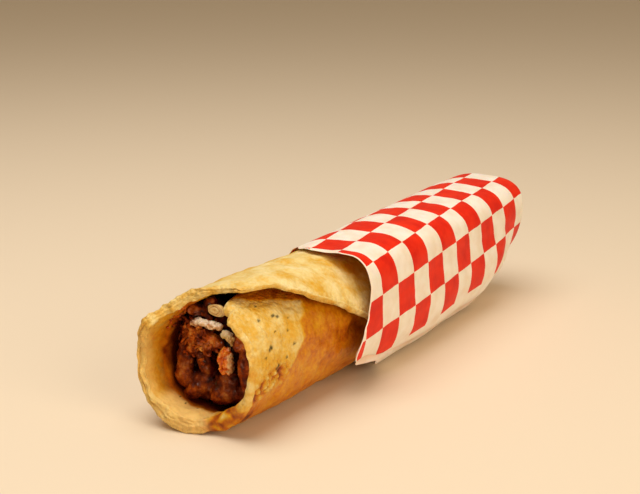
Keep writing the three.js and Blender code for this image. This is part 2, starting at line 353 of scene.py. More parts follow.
herbSpecks = [  # turn, x and radius of the dark green specks
    (-0.389, 91.1, 0.75), (-0.385, 92.4, 0.5), (-0.339, 89, 0.6), (-0.335, 90.2, 0.4),
    (-0.462, 89.4, 0.5), (-0.459, 81.7, 0.55), (-0.452, 80.6, 0.5), (-0.372, 78.3, 0.45),
    (-0.503, 84.7, 0.5), (-0.42, 86, 0.35), (-0.41, 79, 0.35), (-0.35, 84, 0.4),
    (-0.44, 75, 0.3), (-0.37, 95, 0.35), (-0.3, 96, 0.4), (-0.04, 97, 0.5), (0.0, 98, 0.4),
    (0.03, 96.5, 0.4), (0.24, 92, 0.6), (0.27, 94, 0.5),
]
creases = [  # start and end as turn and x, depth and half width
    ((-0.345, 40), (-0.282, 60.7), 0.5, 1.8),
    ((-0.34, 42), (-0.318, 32), 1.3, 2.0),
    ((-0.37, 62), (-0.3, 70), 0.5, 4),
]


def arcOf(turn):  # the same place in millimetres along the sheet
    return turn * fullTurn * roll["radius"]


def foldLineX(turn):  # behind this the inner layer is golden brown
    return alongStations([(-0.5, 60), (-0.44, 66), (-0.41, 70.8), (-0.38, 71.2), (-0.343, 76.5),
                          (-0.319, 81), (-0.3, 90), (-0.27, 100)], turn)


def nearLine(turn, x, start, end):  # distance in millimetres to a short line
    p = np.stack([arcOf(turn), x], -1)
    a = np.array([arcOf(start[0]), start[1]])
    b = np.array([arcOf(end[0]), end[1]])
    share = np.clip(((p - a) @ (b - a)) / ((b - a) @ (b - a)), 0, 1)
    return np.linalg.norm(p - a - share[..., None] * (b - a), axis=-1)


def crustyLine(turn, x):  # fat bubbles and crumbs fried on at the fold
    middle = -0.302 + 0.003 * np.clip(x - 97, -5, 8)
    return bump(turn, middle, 0.028) * plateau(x, 80, 87, 103.5, 106)


# where the painted shade of the slit under the flap goes
def shadeUnderFlap(turn, x):  # 1 where the flap covers the inner layer
    edge = breadFrontX(turn + 1)
    return plateau(turn, -0.64, -0.6, -0.3, -0.24) * (1 - smoothStep(x, edge - 6, edge - 2.5))


def outerRelief(turn, x):
    u = arcOf(turn)
    height = 0.4 * softNoise(u / 11, x / 14, 2.1) + 0.24 * softNoise(u / 4.6, x / 5.4, 7.3)
    height += 0.1 * softNoise(u / 1.7, x / 2.0, 3.9)
    height += 0.75 * (0.2 - cellNoise(u / 5, x / 4.6, 9.0) ** 2)
    for blisterTurn, blisterX, radius, rise in blisters:
        r = np.hypot(u - arcOf(blisterTurn), x - blisterX) / radius
        height += rise * np.clip(1 - r ** 2, 0, 1) ** 1.5
    skin = smoothStep(x - foldLineX(turn), -1.2, 1.0) * plateau(turn, -0.6, -0.55, -0.24, -0.18)
    height += 0.45 * skin  # the pale skin ends in a step at the fold
    height += 0.45 * skin * (0.5 - cellNoise(u / 3.4, x / 3.0, 5.0))
    height += crustyLine(turn, x) * (1.3 - 2.9 * cellNoise(u / 2.0, x / 2.2, 3.0))
    scales = bump(turn, -0.515, 0.03) * smoothStep(x, 80, 90)
    height += scales * (0.5 - 1.1 * cellNoise(u / 1.7, x / 1.7, 6.0))
    for start, end, depth, width in creases:
        height -= depth * np.exp(-(nearLine(turn, x, start, end) / width) ** 2)
    return height


def edgeOutline(turn):  # the torn, flaky line of the front edge
    u = arcOf(turn)
    corner = 5 * bump(turn, -0.563, 0.02) - 1.7 * bump(turn, -0.42, 0.05)
    flakes = (0.3 + 0.9 * bump(turn, -0.52, 0.035)) * softNoise(u / 1.6, 0.5)
    return corner + flakes + 0.9 * softNoise(u / 6, 9.5) + 0.6 * softNoise(u / 14, 2.5)


def paintBread(piece, turn, x, level, behind, outside, onRim, splitLevel, gaping):
    # browned tone with painted shade in it, raw pale dough and sauce stain
    u = arcOf(turn)
    inside = ~outside & ~onRim
    patches = 0.5 * softNoise(u / 8, x / 9, 4.0)
    fold = foldLineX(turn)
    leftOfFold = smoothStep(x - fold, -0.6, 2.2)
    innerLayer = plateau(turn, -0.62, -0.55, -0.3, -0.22)
    brown = 0.42 + 0.22 * patches
    # golden, with painted shade along the crease by the paper and at the foot of the fold's step
    golden = 0.585 + 0.08 * bump(turn, -0.345, 0.035) + 0.07 * bump(x, 44, 14) + 0.16 * patches
    golden += 0.12 * bump(x - fold, -4, 4) * bump(turn, -0.41, 0.04)
    pale = 0.3 + 0.3 * patches
    brown += innerLayer * (golden + (pale - golden) * leftOfFold - brown)
    lowSide = bump(turn, -0.21, 0.07) * smoothStep(turn, -0.33, -0.27)
    brown += lowSide * (0.68 + 0.2 * patches - brown)
    flapTone = 0.2 - 0.26 * np.clip(softNoise(u / 6, x / 7, 21.0), -0.5, 0.5)
    # painted shade where the flap runs in under the front edge of the paper
    flapTone += 0.36 * bump(turn, 0.515, 0.04) * (1 - smoothStep(x, 33, 42))
    brown += smoothStep(turn, 0.33, 0.4) * (flapTone - brown)
    brown += 0.4 * bump(turn, -0.2, 0.035) * bump(x, 99.5, 2.6) * outside
    brown += 0.4 * bump(turn, -0.14, 0.08) * smoothStep(x, 97, 101) * outside
    crusty = crustyLine(turn, x) * outside
    brown += (0.08 + 1.25 * cellNoise(u / 2.0, x / 2.2, 3.0) ** 1.3 - brown) * crusty
    # painted shade in the slit under the flap
    brown += (0.7 - brown) * shadeUnderFlap(turn, x) * outside
    # painted shade along the crease
    crease = nearLine(turn, x, (-0.345, 42), (-0.282, 60.7))
    brown += 0.12 * np.exp(-(crease / 2.6) ** 2) * outside
    brown[inside] = 0.5 + 0.2 * patches[inside]
    lowRight = plateau(turn, -0.27, -0.2, -0.05, 0.0)
    toasted = lowRight * (0.42 + 0.5 * softNoise(u / 3.5, level * 2.5, 41.0))
    brown[onRim] = (0.3 + 0.3 * softNoise(u / 4, x / 4, 30.0) + toasted)[onRim]
    # painted shade in the split between the layers of the rim
    brown += 0.22 * onRim * bump(level, splitLevel, 0.11) * gaping
    brown += 0.2 * onRim * bump(turn, 0.21, 0.05) * (level < 0)
    brown[inside & (turn > 0.4)] = 0.66  # the underside of the flap
    rawFloor = plateau(turn, -0.13, -0.09, 0.04, 0.08) * smoothStep(x, 94, 97.5)
    rawEdge = bump(behind, 0, 3.4) * plateau(turn, 0.04, 0.1, 0.22, 0.3)
    rawRim = 0.2 * onRim * (1 - lowRight)
    raw = np.maximum(rawRim, np.maximum(0.85 * rawFloor, 0.65 * rawEdge))
    raw[outside] = 0
    stainEnd = 101 + 3 * bump(turn, 0.02, 0.07) - 1.4 * softNoise(u / 5, x / 5, 17.0)
    stain = (1 - smoothStep(x, stainEnd - 13, stainEnd)) * (1 - 0.8 * raw)
    stain[~inside | (turn >= 0.36)] = 0
    paintPoints(piece, "crust", brown, raw, stain)

    specks = np.zeros(len(x))
    for speckTurn, speckX, radius in herbSpecks:
        r = np.hypot(u - arcOf(speckTurn), (x - speckX) * 0.7) / radius
        specks = np.maximum(specks, np.exp(-r ** 4))
    char = 2 * np.clip(softNoise(u / 5, x / 6, 12.5) - 0.25, 0, 1)
    char *= plateau(turn, -0.12, 0.0, 0.3, 0.36) * outside
    shine = innerLayer * (1 - leftOfFold) + 2 * crusty + 0.8 * stain
    paintPoints(piece, "marks", specks, char, shine)
    flaky = 0.18 + 0.3 * innerLayer * leftOfFold + 1.2 * crusty + 0.15 * raw + 0.3 * onRim
    flaky += 0.5 * bump(turn, -0.515, 0.03)
    flaky += 0.7 * smoothStep(turn, 0.2, 0.3) * np.exp(-np.maximum(behind, 0) / 5)
    paintValue(piece, "flaky", flaky)


def makeFlatbread():
    outer, rim = bread["outerSteps"], bread["rimSteps"]
    loopSteps = outer + rim + bread["innerSteps"]
    piece, column, row = makeGrid("flatbreadSheet", loopSteps, bread["turnSteps"])
    inner = column.max() - outer - rim
    share = np.zeros(column.max() + 1)  # 0 at the rim, 1 at the far edge
    share[:outer] = 1 - np.arange(outer) / outer
    share[outer + rim:-1] = np.arange(1, inner + 1) / inner
    level = np.full(column.max() + 1, -0.5)  # 0.5 outside, -0.5 inside
    level[:outer] = 0.5
    level[outer:outer + rim] = 0.5 - np.arange(rim) / (rim - 1)
    share[-1], level[-1] = 1, 0.5  # back to where it started
    share, level = share[column], level[column]
    onRim = (column >= outer) & (column < outer + rim)
    outside = (column < outer) | (column == column.max())

    turn = roll["innerEnd"] + (roll["flapEnd"] - roll["innerEnd"]) * row / row.max()
    u = arcOf(turn)
    front = breadFrontX(turn) + edgeOutline(turn)
    length = front - breadBackEdgeX(turn)
    fine = np.minimum(np.where(outside, bread["outerFine"], bread["innerFine"]), 0.9 * length)
    near = np.minimum(share / bread["fineShare"], 1) * fine
    rest = np.maximum(share - bread["fineShare"], 0) / (1 - bread["fineShare"]) * (length - fine)
    x = front - near - rest

    # the rim: rounded, with grooves between the flaky layers and one open split at the left
    gaping = 0.12 + 0.88 * plateau(turn, -0.06, 0.02, 0.24, 0.3)
    splitLevel = 0.1 + 0.08 * softNoise(u / 9, 3.3)
    split = bread["splitDepth"] * gaping * bump(level, splitLevel, 0.085)
    ragged = smoothStep(turn, -0.2, -0.1)  # the right side is rolled over smoothly
    layers = 0.6 * softNoise(level * 5, u / 4.5, 1.7) + 0.45 * softNoise(level * 9, u / 2.2, 4.4)
    bulge = bread["rimBulge"] + bread["smoothBulge"] * (1 - ragged)
    rounded = bulge * np.cos(math.pi * level) ** 0.6
    x = x + onRim * (rounded - split + layers * (0.15 + 0.85 * ragged))
    behind = front - x

    away = smoothStep(x, 10, 24)  # under the paper the sheet stays plain
    wrinkles = 0.5 * softNoise(u / 7, x / 8, 8.8) + 0.3 * softNoise(u / 2.6, x / 3, 1.2)
    relief = np.where(onRim, 0.25 * softNoise(u / 3, level * 3, 6.1), away * wrinkles)
    relief[outside] = outerRelief(turn[outside], x[outside]) * away[outside]
    lumpy = np.exp(-behind / 4.5) * (0.25 + 0.75 * ragged) * np.where(level < 0, 1, 0.8)
    relief += 1.3 * lumpy * softNoise(u / 7.5, level * 1.3, 14.0)
    relief += 0.7 * lumpy * softNoise(u / 3.3, x / 3.6, 15 + level)
    crumbs = smoothStep(turn, 0.2, 0.3) * (1 - 0.75 * smoothStep(turn, 0.38, 0.44))
    crumbs *= np.exp(-np.maximum(behind, 0) / 3)
    relief += crumbs * (0.45 - 1.1 * cellNoise(u / 1.9, x / 1.9, 16 + level))
    edgeRound = np.where(onRim, 0, -0.45 * np.exp(-behind / 1.5) * np.sign(level))
    lip = 0.7 * bump(behind, 0.8, 1.6) * smoothStep(turn, 0.4, 0.47) * outside
    groove = 0.35 * bump(behind, 3.0, 0.6) * smoothStep(turn, 0.42, 0.47) * outside
    # towards the mouth the sheet is thinner at the right, and uneven all round
    thin = (0.55 * bump(turn, -0.4, 0.09) + 0.12 * softNoise(u / 9, 5.5)) * smoothStep(x, 84, 96)
    lowLip = plateau(turn, -0.28, -0.18, 0.02, 0.09)
    thin -= lowLip * (0.5 + 0.2 * softNoise(u / 6, x / 6, 19.0)) * smoothStep(x, 91, 98)
    flapThin = 0.5 * smoothStep(turn, 0.34, 0.42) * np.exp(-np.maximum(behind, 0) / 9)
    inwards = roll["thickness"] * (0.5 - level)  # the outside stays where it is
    radius = breadRadiusAt(turn, x) + 0.5 * roll["thickness"] - inwards * (1 - thin - flapThin)
    radius = radius + relief * (1 - 0.5 * flapThin) + edgeRound + lip - groove
    movePoints(piece, onRoll(roll["start"] + turn * fullTurn, radius, x))
    paintBread(piece, turn, x, level, behind, outside, onRim, splitLevel, gaping)
    closeUp(piece)
    return piece


def panFriedDough():
    # flaky flatbread fried in a little fat: matt pale blisters, darker and shinier where it browned
    mat = newMaterial("pan-fried flaky dough")
    # crust: browned tone with painted shade in slits, creases and under the paper; raw dough; stain
    browningAndShade, raw, stain = readPaint(mat, "crust")
    specks, char, shine = readPaint(mat, "marks")
    mottle = addNoise(mat, 4.5, 5, 0.6)
    wide = addMath(mat, "MULTIPLY_ADD", mottle, 0.5, -0.25)
    small = addMath(mat, "MULTIPLY_ADD", addNoise(mat, 1.3, 3), 0.34, -0.17)
    brown = addMath(mat, "ADD", browningAndShade, addMath(mat, "ADD", wide, small))
    tone = addRamp(mat, brown, [
        (0.0, "#ECDAA2"), (0.2, "#E0C67E"), (0.36, "#D8AB44"), (0.52, "#D29412"),
        (0.66, "#C47604"), (0.82, "#A65200"), (1.0, "#5A2200")])
    sauce = addRamp(mat, mottle, [(0.3, "#7E2E02"), (0.5, "#BE6204"), (0.7, "#DB8C14")])
    over = [(raw, colour("#EBC77A")), (addRange(mat, stain, 0, 0.6), sauce),
            (addRange(mat, stain, 0.62, 0.95), colour("#5A1A02")),
            (char, colour("#7A3D0C")), (specks, colour("#2A2B12"))]
    for share, paint in over:
        tone = addMix(mat, share, tone, paint)
    pores = addBump(mat, addNoise(mat, 1.0, 5, 0.65), 0.35, 0.5)
    place = addNode(mat, "TexCoord").outputs["Object"]
    bubbles = addNode(mat, "TexVoronoi", {"Vector": place, "Scale": 1 / (1.5 * mm)})
    flakes = addNode(mat, "Bump", {
        "Height": bubbles.outputs["Distance"], "Distance": 0.7 * mm,
        "Strength": readValue(mat, "flaky"), "Normal": pores}, invert=True)
    return addSurface(mat, {
        "Base Color": tone, "IOR": 1.45, "Specular IOR Level": 0.25, "Normal": flakes.outputs[0],
        "Roughness": addRange(mat, shine, 0, 1, 0.55, 0.36),
        "Subsurface Weight": 0.1, "Subsurface Radius": (1.0, 0.6, 0.25), "Subsurface Scale": 1 * mm,
        "Coat Weight": addRange(mat, shine, 0, 1, 0.03, 0.22), "Coat Roughness": 0.18})


finishPiece(makeFlatbread(), panFriedDough(), "flatbread")


# Paper wrap: a long sheet wound round once and a bit, its far end tucked in

paper = {
    "radius": 25.3,
    "axisY": 2.5,
    "axisZ": 25,
    "frontX": 44.4,
    "clearance": 0.55,
    "wall": 0.6,  # room that its solid leaves for the layers
    "thickness": 0.16,
    "outerEnd": 131,  # degrees: the sheet ends here outside, at the lower right ...
    "cornerLift": 15,  # ... earlier by so much at its front corner ...
    "overlap": 66,  # ... and goes on under itself by so much
    "layerGap": 0.34,
    "aroundSteps": 230,
    "lengthSteps": 128,
    "endSteps": 12,
    "capSteps": 20,
    "endRounding": 5,
    "endTaper": 8.5,  # the closed end draws in by so much at its lower right ...
    "taperAngle": 130,  # degrees
    "taperReach": 42,
    "taperLength": 50,  # ... over this length
    "pleats": 15,
    "pleatDepth": 1.5,
    "capHollow": 3.2,  # the middle of the closed end lies so much further in
    "folds": [  # height, middle and reach in degrees, round the loose section
        (5.4, 47, 23), (2.2, 150, 17), (1.3, 238, 24), (-2.6, 315, 35),
    ],
    "frontDrop": 2.2,  # the front edge comes down on the bread by so much at the top ...
    "frontDropLength": 43,  # ... over this length
    "edgeShift": [
        (-90, -22), (-50, -18), (-29, -13), (-15, -6.5), (0, -4.5), (30, -3.5), (60, -1.5),
        (80, 0.5), (92, 3.5), (112, 7), (122, 4), (133, -16), (150, -27), (215, -29), (270, -22),
    ],
    "square": 12.7,
    "slant": math.radians(4.07),
    "zeroAngle": 24,  # degrees: a line of squares runs along the sheet here
    "patternX": 35.95,  # and one runs round it here
    "firstRow": -7,  # rows of squares from that line round the roll
    "lastRow": 4,
}


def breadOutside(angle, x):
    turn = ((angle - roll["start"]) / fullTurn) % 1
    outerTurn = np.where(turn > roll["flapEnd"] + 0.04, turn - 1, np.minimum(turn, roll["flapEnd"]))
    edgeX = breadBackEdgeX(outerTurn)
    pastOuterLayer = 1 - smoothStep(x, edgeX - 25, edgeX - 8)
    pastBread = 1 - smoothStep(x, farX, breadBackX - 3)
    drop = roll["pitch"] * pastOuterLayer + paper["endTaper"] * pastBread
    return breadRadiusAt(outerTurn, x) + roll["thickness"] / 2 - drop


def breadReach(angle, x):
    offsetY = breadAxisY(x) - paper["axisY"]
    offsetZ = roll["axisZ"] + floorUnderBread(x) - paper["axisZ"]
    towards = offsetY * np.sin(angle) + offsetZ * np.cos(angle)
    reach = np.full(np.shape(angle), paper["radius"])
    for _ in range(3):
        around = np.arctan2(reach * np.sin(angle) - offsetY, reach * np.cos(angle) - offsetZ)
        radius = breadOutside(around, x)
        reach = towards + np.sqrt(towards ** 2 - offsetY ** 2 - offsetZ ** 2 + radius ** 2)
    return reach


def loosePaperRadius(angle):
    radius = paper["radius"]
    for height, middle, reach in paper["folds"]:
        radius = radius + height * bumpRound(angle, middle, reach)
    return radius


def endTaperAt(angle, x):
    left = 1 - np.clip((x - farX) / paper["taperLength"], 0, 1)
    around = bumpRound(angle, paper["taperAngle"], paper["taperReach"])
    return paper["endTaper"] * around * left ** 2


def frontDropAt(angle, x):
    endX = paper["frontX"] - 5
    down = smoothStep(x, endX - paper["frontDropLength"], endX)
    return paper["frontDrop"] * bumpRound(angle, 5, 24) * down


def paperRadiusAt(angle, x):
    loose = loosePaperRadius(angle) - endTaperAt(angle, x) - frontDropAt(angle, x)
    tight = breadReach(angle, x) + paper["clearance"] + paper["wall"]
    return (loose + tight + np.hypot(loose - tight, 1)) / 2


def paperEdgeX(angle):
    degrees = (np.degrees(angle) + 90) % 360 - 90
    return paper["frontX"] + alongStations(paper["edgeShift"], degrees)


def arcRound(angle):
    # length round the loose section from the zero angle, in millimetres
    steps = np.radians(np.arange(-400, 401, 1.0))
    radius = loosePaperRadius(steps)
    y, z = radius * np.sin(steps), np.maximum(radius * np.cos(steps), -paper["axisZ"])
    length = np.concatenate([[0], np.cumsum(np.hypot(np.diff(y), np.diff(z)))])
    zero = np.interp(math.radians(paper["zeroAngle"]), steps, length)
    return np.interp(angle, steps, length) - zero


def makePaperWrap():
    lengthSteps, capStart = paper["lengthSteps"], paper["lengthSteps"] + paper["endSteps"]
    rows = capStart + paper["capSteps"]
    piece, column, row = makeGrid("checkPaperWrap", paper["aroundSteps"], rows)
    lengthShare = np.minimum(row / lengthSteps, 1)
    fromFront = (paper["frontX"] - farX) * lengthShare
    corner = 1 - smoothStep(fromFront, 2, 30)
    firstAngle = math.radians(paper["outerEnd"]) - math.radians(paper["cornerLift"]) * corner
    overlap = math.radians(paper["overlap"])
    angle = firstAngle - (fullTurn + overlap) * column / column.max()
    under = smoothStep(-angle, fullTurn - firstAngle - 0.25, fullTurn - firstAngle - 0.02)

    bend = paper["endRounding"]
    edge = paperEdgeX(angle) - 1.5 * under
    endShare = np.clip((row - lengthSteps) / paper["endSteps"], 0, 1)
    capShare = np.clip((row - capStart) / (row.max() - capStart), 0, 1)
    fromBack = (edge - farX) * (1 - lengthShare) + bend * lengthShare
    fromBack = np.where(endShare > 0, bend * (1 - np.sin(endShare * math.pi / 2)), fromBack)
    x = farX + fromBack
    left = bend - np.minimum(fromBack, bend)
    rounding = bend - np.sqrt(bend ** 2 - left ** 2)

    u = arcRound(angle)
    aroundX, aroundY = np.cos(angle) * 3, np.sin(angle) * 3
    dents = 0.3 * softNoise(aroundX, aroundY, x / 17)
    dents += 0.14 * softNoise(aroundX * 2.6, aroundY * 2.6, x / 9)
    dents -= 0.35 * np.clip(softNoise(u / 5, x / 45, 3.7), 0, 1)
    dents = np.minimum(dents, 0.12) * (1 - 0.7 * capShare)
    dents *= 0.25 + 0.75 * smoothStep(fromBack, 0, 20)
    radius = paperRadiusAt(angle, x) - rounding - 0.12 + dents - under * paper["layerGap"]
    lift = bump(np.degrees(angle), 116, 13) * bump(edge - x, 0, 7)
    radius = radius + 0.35 * lift * (1 - under)

    pleat = np.sin(paper["pleats"] * angle + 5 * capShare + 2 * softNoise(aroundX, aroundY, 1.0))
    pleatDepth = paper["pleatDepth"] * capShare ** 0.7 * (1 - capShare) ** 0.5
    shrink = 1 - 0.985 * capShare
    y = paper["axisY"] + radius * np.sin(angle) * shrink
    z = np.maximum(paper["axisZ"] + radius * np.cos(angle), 0.05)
    z = paper["axisZ"] + (z - paper["axisZ"]) * shrink
    x = x + under * paper["layerGap"] * (endShare > 0.5)
    hollow = 0.2 + paper["capHollow"] * smoothStep(capShare, 0.05, 0.9)
    x = np.where(capShare > 0, x + hollow + pleatDepth * (0.9 + pleat), x)
    movePoints(piece, place(x, y, z))

    # the print in millimetres: along the roll from its front line, and round it
    sheet = piece.data.attributes.new("sheet", "FLOAT_VECTOR", "POINT")
    alongSheet = paper["patternX"] - x + radius * (1 - shrink)
    sheet.data.foreach_set("vector", np.stack([alongSheet, u, np.zeros_like(u)], 1).ravel())
    doubled = smoothStep(angle, firstAngle - overlap - 0.05, firstAngle - 1)
    paintPoints(piece, "layers", doubled * (1 - under), under, (edge - x) / 10)

    thicken = piece.modifiers.new("sheet thickness", "SOLIDIFY")
    thicken.thickness = paper["thickness"] * mm
    thicken.offset = 0
    turnOutwards(piece)
    applyAll(piece)
    return piece


def checkAt(mat, vector, shift):
    # 1 on the printed squares, in the rows that are printed, moved round the roll by a shift
    slant, square = paper["slant"], paper["square"]
    moved = (4 * (shift != 0) - shift * math.sin(slant), shift * math.cos(slant), 3)
    turned = addNode(mat, "Mapping", {"Vector": vector, "Location": moved,
                                           "Rotation": (0, 0, slant)}).outputs[0]
    check = addNode(mat, "TexChecker", {
        "Vector": turned, "Scale": 1 / square, "Color1": (1, 1, 1, 1), "Color2": (0, 0, 0, 1)})
    across = addNode(mat, "SeparateXYZ", {0: turned}).outputs[1]
    below = addMath(mat, "LESS_THAN", across, paper["lastRow"] * square)
    above = addMath(mat, "GREATER_THAN", across, paper["firstRow"] * square)
    rows = addMath(mat, "MULTIPLY", below, above)
    return addMath(mat, "MULTIPLY", check.outputs["Fac"], rows)


def waxedCheckPaper():
    # thin waxed food paper, printed red: silky, and dull red where the ink is thin
    mat = newMaterial("waxed check paper")
    sheet = addNode(mat, "Attribute", attribute_name="sheet").outputs["Vector"]
    doubled, under, fromEdge = readPaint(mat, "layers")
    wobble = addNode(mat, "TexNoise", {"Vector": sheet, "Scale": 0.12}).outputs["Color"]
    nudge = addNode(mat, "VectorMath", {0: wobble, 1: (0.9, 0.9, 0)}, operation="MULTIPLY")
    nudged = addNode(mat, "VectorMath", {0: sheet, 1: nudge.outputs[0]}, operation="ADD")
    printed = nudged.outputs[0]
    cloud = addNoise(mat, 7, 4)
    plain = addRamp(mat, cloud, [(0.3, "#EDD9C6"), (0.6, "#F7EADF")])
    red = addRamp(mat, cloud, [(0.3, "#CE1600"), (0.65, "#E82A06")])
    # the layer below shows through faintly, and the margin at the front edge is not printed
    below = checkAt(mat, printed, arcRound(0) - arcRound(fullTurn))
    through = addMath(mat, "MULTIPLY", below, addMath(mat, "MULTIPLY", doubled, 0.13))
    inside = addMath(mat, "GREATER_THAN", fromEdge, 0.075)
    inked = addMath(mat, "MULTIPLY", checkAt(mat, printed, 0), inside)
    # the layer underneath turns toward a shaded beige: painted shade where it lies below the outer
    # one
    shadeOnUnderLayer = addMath(mat, "MULTIPLY", under, 0.45)
    tone = addMix(mat, through, plain, colour("#C23A1C"))
    tone = addMix(mat, inked, tone, red)
    tone = addMix(mat, shadeOnUnderLayer, tone, colour("#E2A988"))
    return addSurface(mat, {
        "Base Color": tone, "Roughness": 0.5, "IOR": 1.45, "Specular IOR Level": 0.2,
        "Subsurface Weight": 0.35, "Subsurface Radius": (1.0, 0.5, 0.3),
        "Subsurface Scale": 0.6 * mm,
        "Normal": addBump(mat, addNoise(mat, 3, 5), 0.18, 0.4)})


finishPiece(makePaperWrap(), waxedCheckPaper(), "paper_wrap")


# Filling: a core through the roll, with torn pieces of sauced chicken on the face that shows

filling = {
    "faceX": mouthX - 16.5,
    "backX": breadBackX + 8,
    "clearance": 1.02,
    "heapBackX": 74,  # the face and what lies on it start here ...
    "heapSteps": 20,
    "bodyFrontX": 80,  # ... and the plain rest ends here
    "aroundSteps": 96,
    "lengthSteps": 60,
    "faceSteps": 26,
    "shreds": 45,
    "fibres": 100,
    "crumbs": 40,
    "seed": 7,
    "voxel": 0.36,
}


def insideRadius(angle, x):
    turn = ((angle - roll["start"]) / fullTurn) % 1
    half = roll["thickness"] / 2 + filling["clearance"]
    outer = breadRadiusAt(np.minimum(turn, roll["flapEnd"]), x) - half
    innerTurn = np.maximum(turn - 1, roll["innerEnd"])
    inner = breadRadiusAt(innerTurn, x) - half
    clearX = np.maximum(breadFrontX(innerTurn + 0.035) + 5, filling["faceX"] - 12)
    behindEdge = 1 - smoothStep(x, clearX, clearX + 8)
    pastInnerEnd = smoothStep(turn, 1 + roll["innerEnd"] - 0.1, 1 + roll["innerEnd"] - 0.03)
    outer = outer + (inner - outer) * behindEdge * pastInnerEnd
    return np.where(turn > roll["flapEnd"], inner, outer)


def makeFillingBody(backX, faceX, lengthSteps, rough):
    rows = lengthSteps + 2 * filling["faceSteps"]
    piece, column, row = makeGrid("filling body", filling["aroundSteps"], rows)
    angle = fullTurn * column / column.max()
    cap = filling["faceSteps"]
    outwards = np.clip(np.minimum(row, row.max() - row) / cap, 0, 1)
    share = np.clip((row - cap) / (row.max() - 2 * cap), 0, 1)
    x = backX + (faceX - backX) * share
    edge = 3.2 * (1 - smoothStep(np.minimum(faceX - x, x - backX), 0, 4))
    radius = (insideRadius(angle, x) - edge * smoothStep(outwards, 0.6, 1)) * np.sqrt(outwards)
    y, z = radius * np.sin(angle), radius * np.cos(angle)
    front = (row > row.max() / 2) & (outwards < 1)
    uneven = 1.2 * softNoise(y / 5, z / 5, 2.0) + 0.6 * softNoise(y / 2.2, z / 2.2, 5.0)
    x = x + rough * front * uneven * (1 - outwards ** 4)
    movePoints(piece, onRoll(angle, radius, x))
    closeUp(piece, 0.02 * mm)
    return piece


def shapeLump(fibre, seed, detail):
    # one torn piece of meat, about 1 in half length, with fibres along Z
    bpy.ops.mesh.primitive_ico_sphere_add(subdivisions=detail, radius=1)
    piece = bpy.context.object
    p = pointsOf(piece)
    large = softNoise(p[:, 0] * 1.1, p[:, 1] * 1.1, p[:, 2] * 0.8 + seed)
    strands = softNoise(p[:, 0] * 4.5 + seed, p[:, 1] * 4.5, p[:, 2] * 0.9)
    grain = softNoise(p[:, 0] * 7, p[:, 1] * 7 + seed, p[:, 2] * 3)
    scale = 1 + 0.34 * large + fibre * 0.2 * strands + 0.07 * grain
    movePoints(piece, p * scale[:, None])
    return piece


def shapeLumps(count, fibre, seed, seedStep, detail):
    return [shapeLump(fibre, seed + seedStep * k, detail) for k in range(count)]


def draw(*ranges):
    return [random.uniform(low, high) for low, high in ranges]


def paintAll(piece, tone):
    paintValue(piece, "tone", np.full(len(piece.data.vertices), tone))


def removeAll(models):
    for model in models:
        bpy.data.objects.remove(model)


def putCopy(model, halfSizes, turned, centre):  # sizes and centre in millimetres
    copy = model.copy()
    copy.data = model.data.copy()
    bpy.context.collection.objects.link(copy)
    size = Matrix.Diagonal((*[h * mm for h in halfSizes], 1))
    place = Matrix.Translation([c * mm for c in centre])
    copy.data.transform(place @ Euler(turned).to_matrix().to_4x4() @ size)
    return copy


def runTogether(piece, voxel, softenings):
    merge = piece.modifiers.new("one wet mass", "REMESH")
    merge.mode = "VOXEL"
    merge.voxel_size = voxel * mm
    soften = piece.modifiers.new("film of sauce", "SMOOTH")
    soften.factor, soften.iterations = 0.5, softenings
    applyAll(piece)


def roughen(piece, height, size, seed, share=1.0):
    # moves the skin in and out by a noise, sizes in millimetres
    points = pointsOf(piece)
    outwards = np.empty(len(points) * 3)
    piece.data.vertex_normals.foreach_get("vector", outwards)
    x, y, z = (points / mm / size).T
    rise = softNoise(x, y, z + seed) + 0.5 * softNoise(x * 2, y * 2, z * 2)
    movePoints(piece, points + outwards.reshape(-1, 3) * (rise * share * height * mm)[:, None])


def joinAll(pieces, name):
    useOnly(pieces[0])
    for piece in pieces:
        piece.select_set(True)
    bpy.ops.object.join()
    pieces[0].name = pieces[0].data.name = name
    return pieces[0]


largePieces = [  # half sizes, turn and place of the pieces that show most
    ((3.0, 3.6, 9.0), (0.12, 0, 0), (89.8, 6.2, 21.0)),  # long one down the right wall
    ((3.0, 2.8, 5.0), (-0.5, 0, 0.2), (89.8, 4.4, 31.0)),  # and above it
    ((3.0, 9.0, 3.6), (0.2, 0, 0.1), (89.4, -2.0, 9.8)),  # at the bottom
    ((3.0, 4.6, 4.4), (-0.6, 0, 0), (88.6, -2.5, 15.0)),
    ((3.2, 5.6, 5.0), (-0.3, 0, 0), (88.4, -13.0, 11.6)),
    ((2.6, 3.4, 6.4), (0.35, 0.1, 0), (88.4, -11.0, 19.0)),
    ((2.8, 3.2, 6.6), (0.1, 0, 0), (89.0, -19.0, 20.5)),  # at the left wall
    ((2.4, 3.0, 4.8), (-0.35, 0, 0), (88.8, -17.6, 30.0)),
    ((2.4, 4.2, 2.2), (0.5, 0.2, 0), (90.4, -9.8, 27.2)),  # torn pieces in the middle
    ((2.2, 3.2, 2.0), (-0.6, 0, 0.3), (91.0, -6.0, 28.6)),
    ((2.2, 3.6, 2.0), (0.2, 0.5, 0), (90.0, -15.0, 28.6)),
    ((2.0, 3.4, 1.8), (0.7, 0.2, 0), (90.2, -16.0, 24.0)),
    ((2.2, 3.0, 4.8), (0.3, 0, 0.5), (91.0, -18.6, 15.0)),  # low at the left, further out
    ((2.2, 4.4, 2.6), (0.5, 0, 0.4), (91.0, -14.2, 9.6)),
    ((2.6, 5.0, 2.4), (-0.1, 0, 0.2), (89.2, -13.8, 37.6)),  # above the pale strip
    ((2.2, 2.8, 2.2), (0.6, 0, 0), (88.6, -9.4, 40.2)),
]
shredCentre = (-11.0, 27.8)  # the finest shreds lie round here, and show their fibres
shadedHollow = (-6.6, 19.5)  # and here one looks into a gap


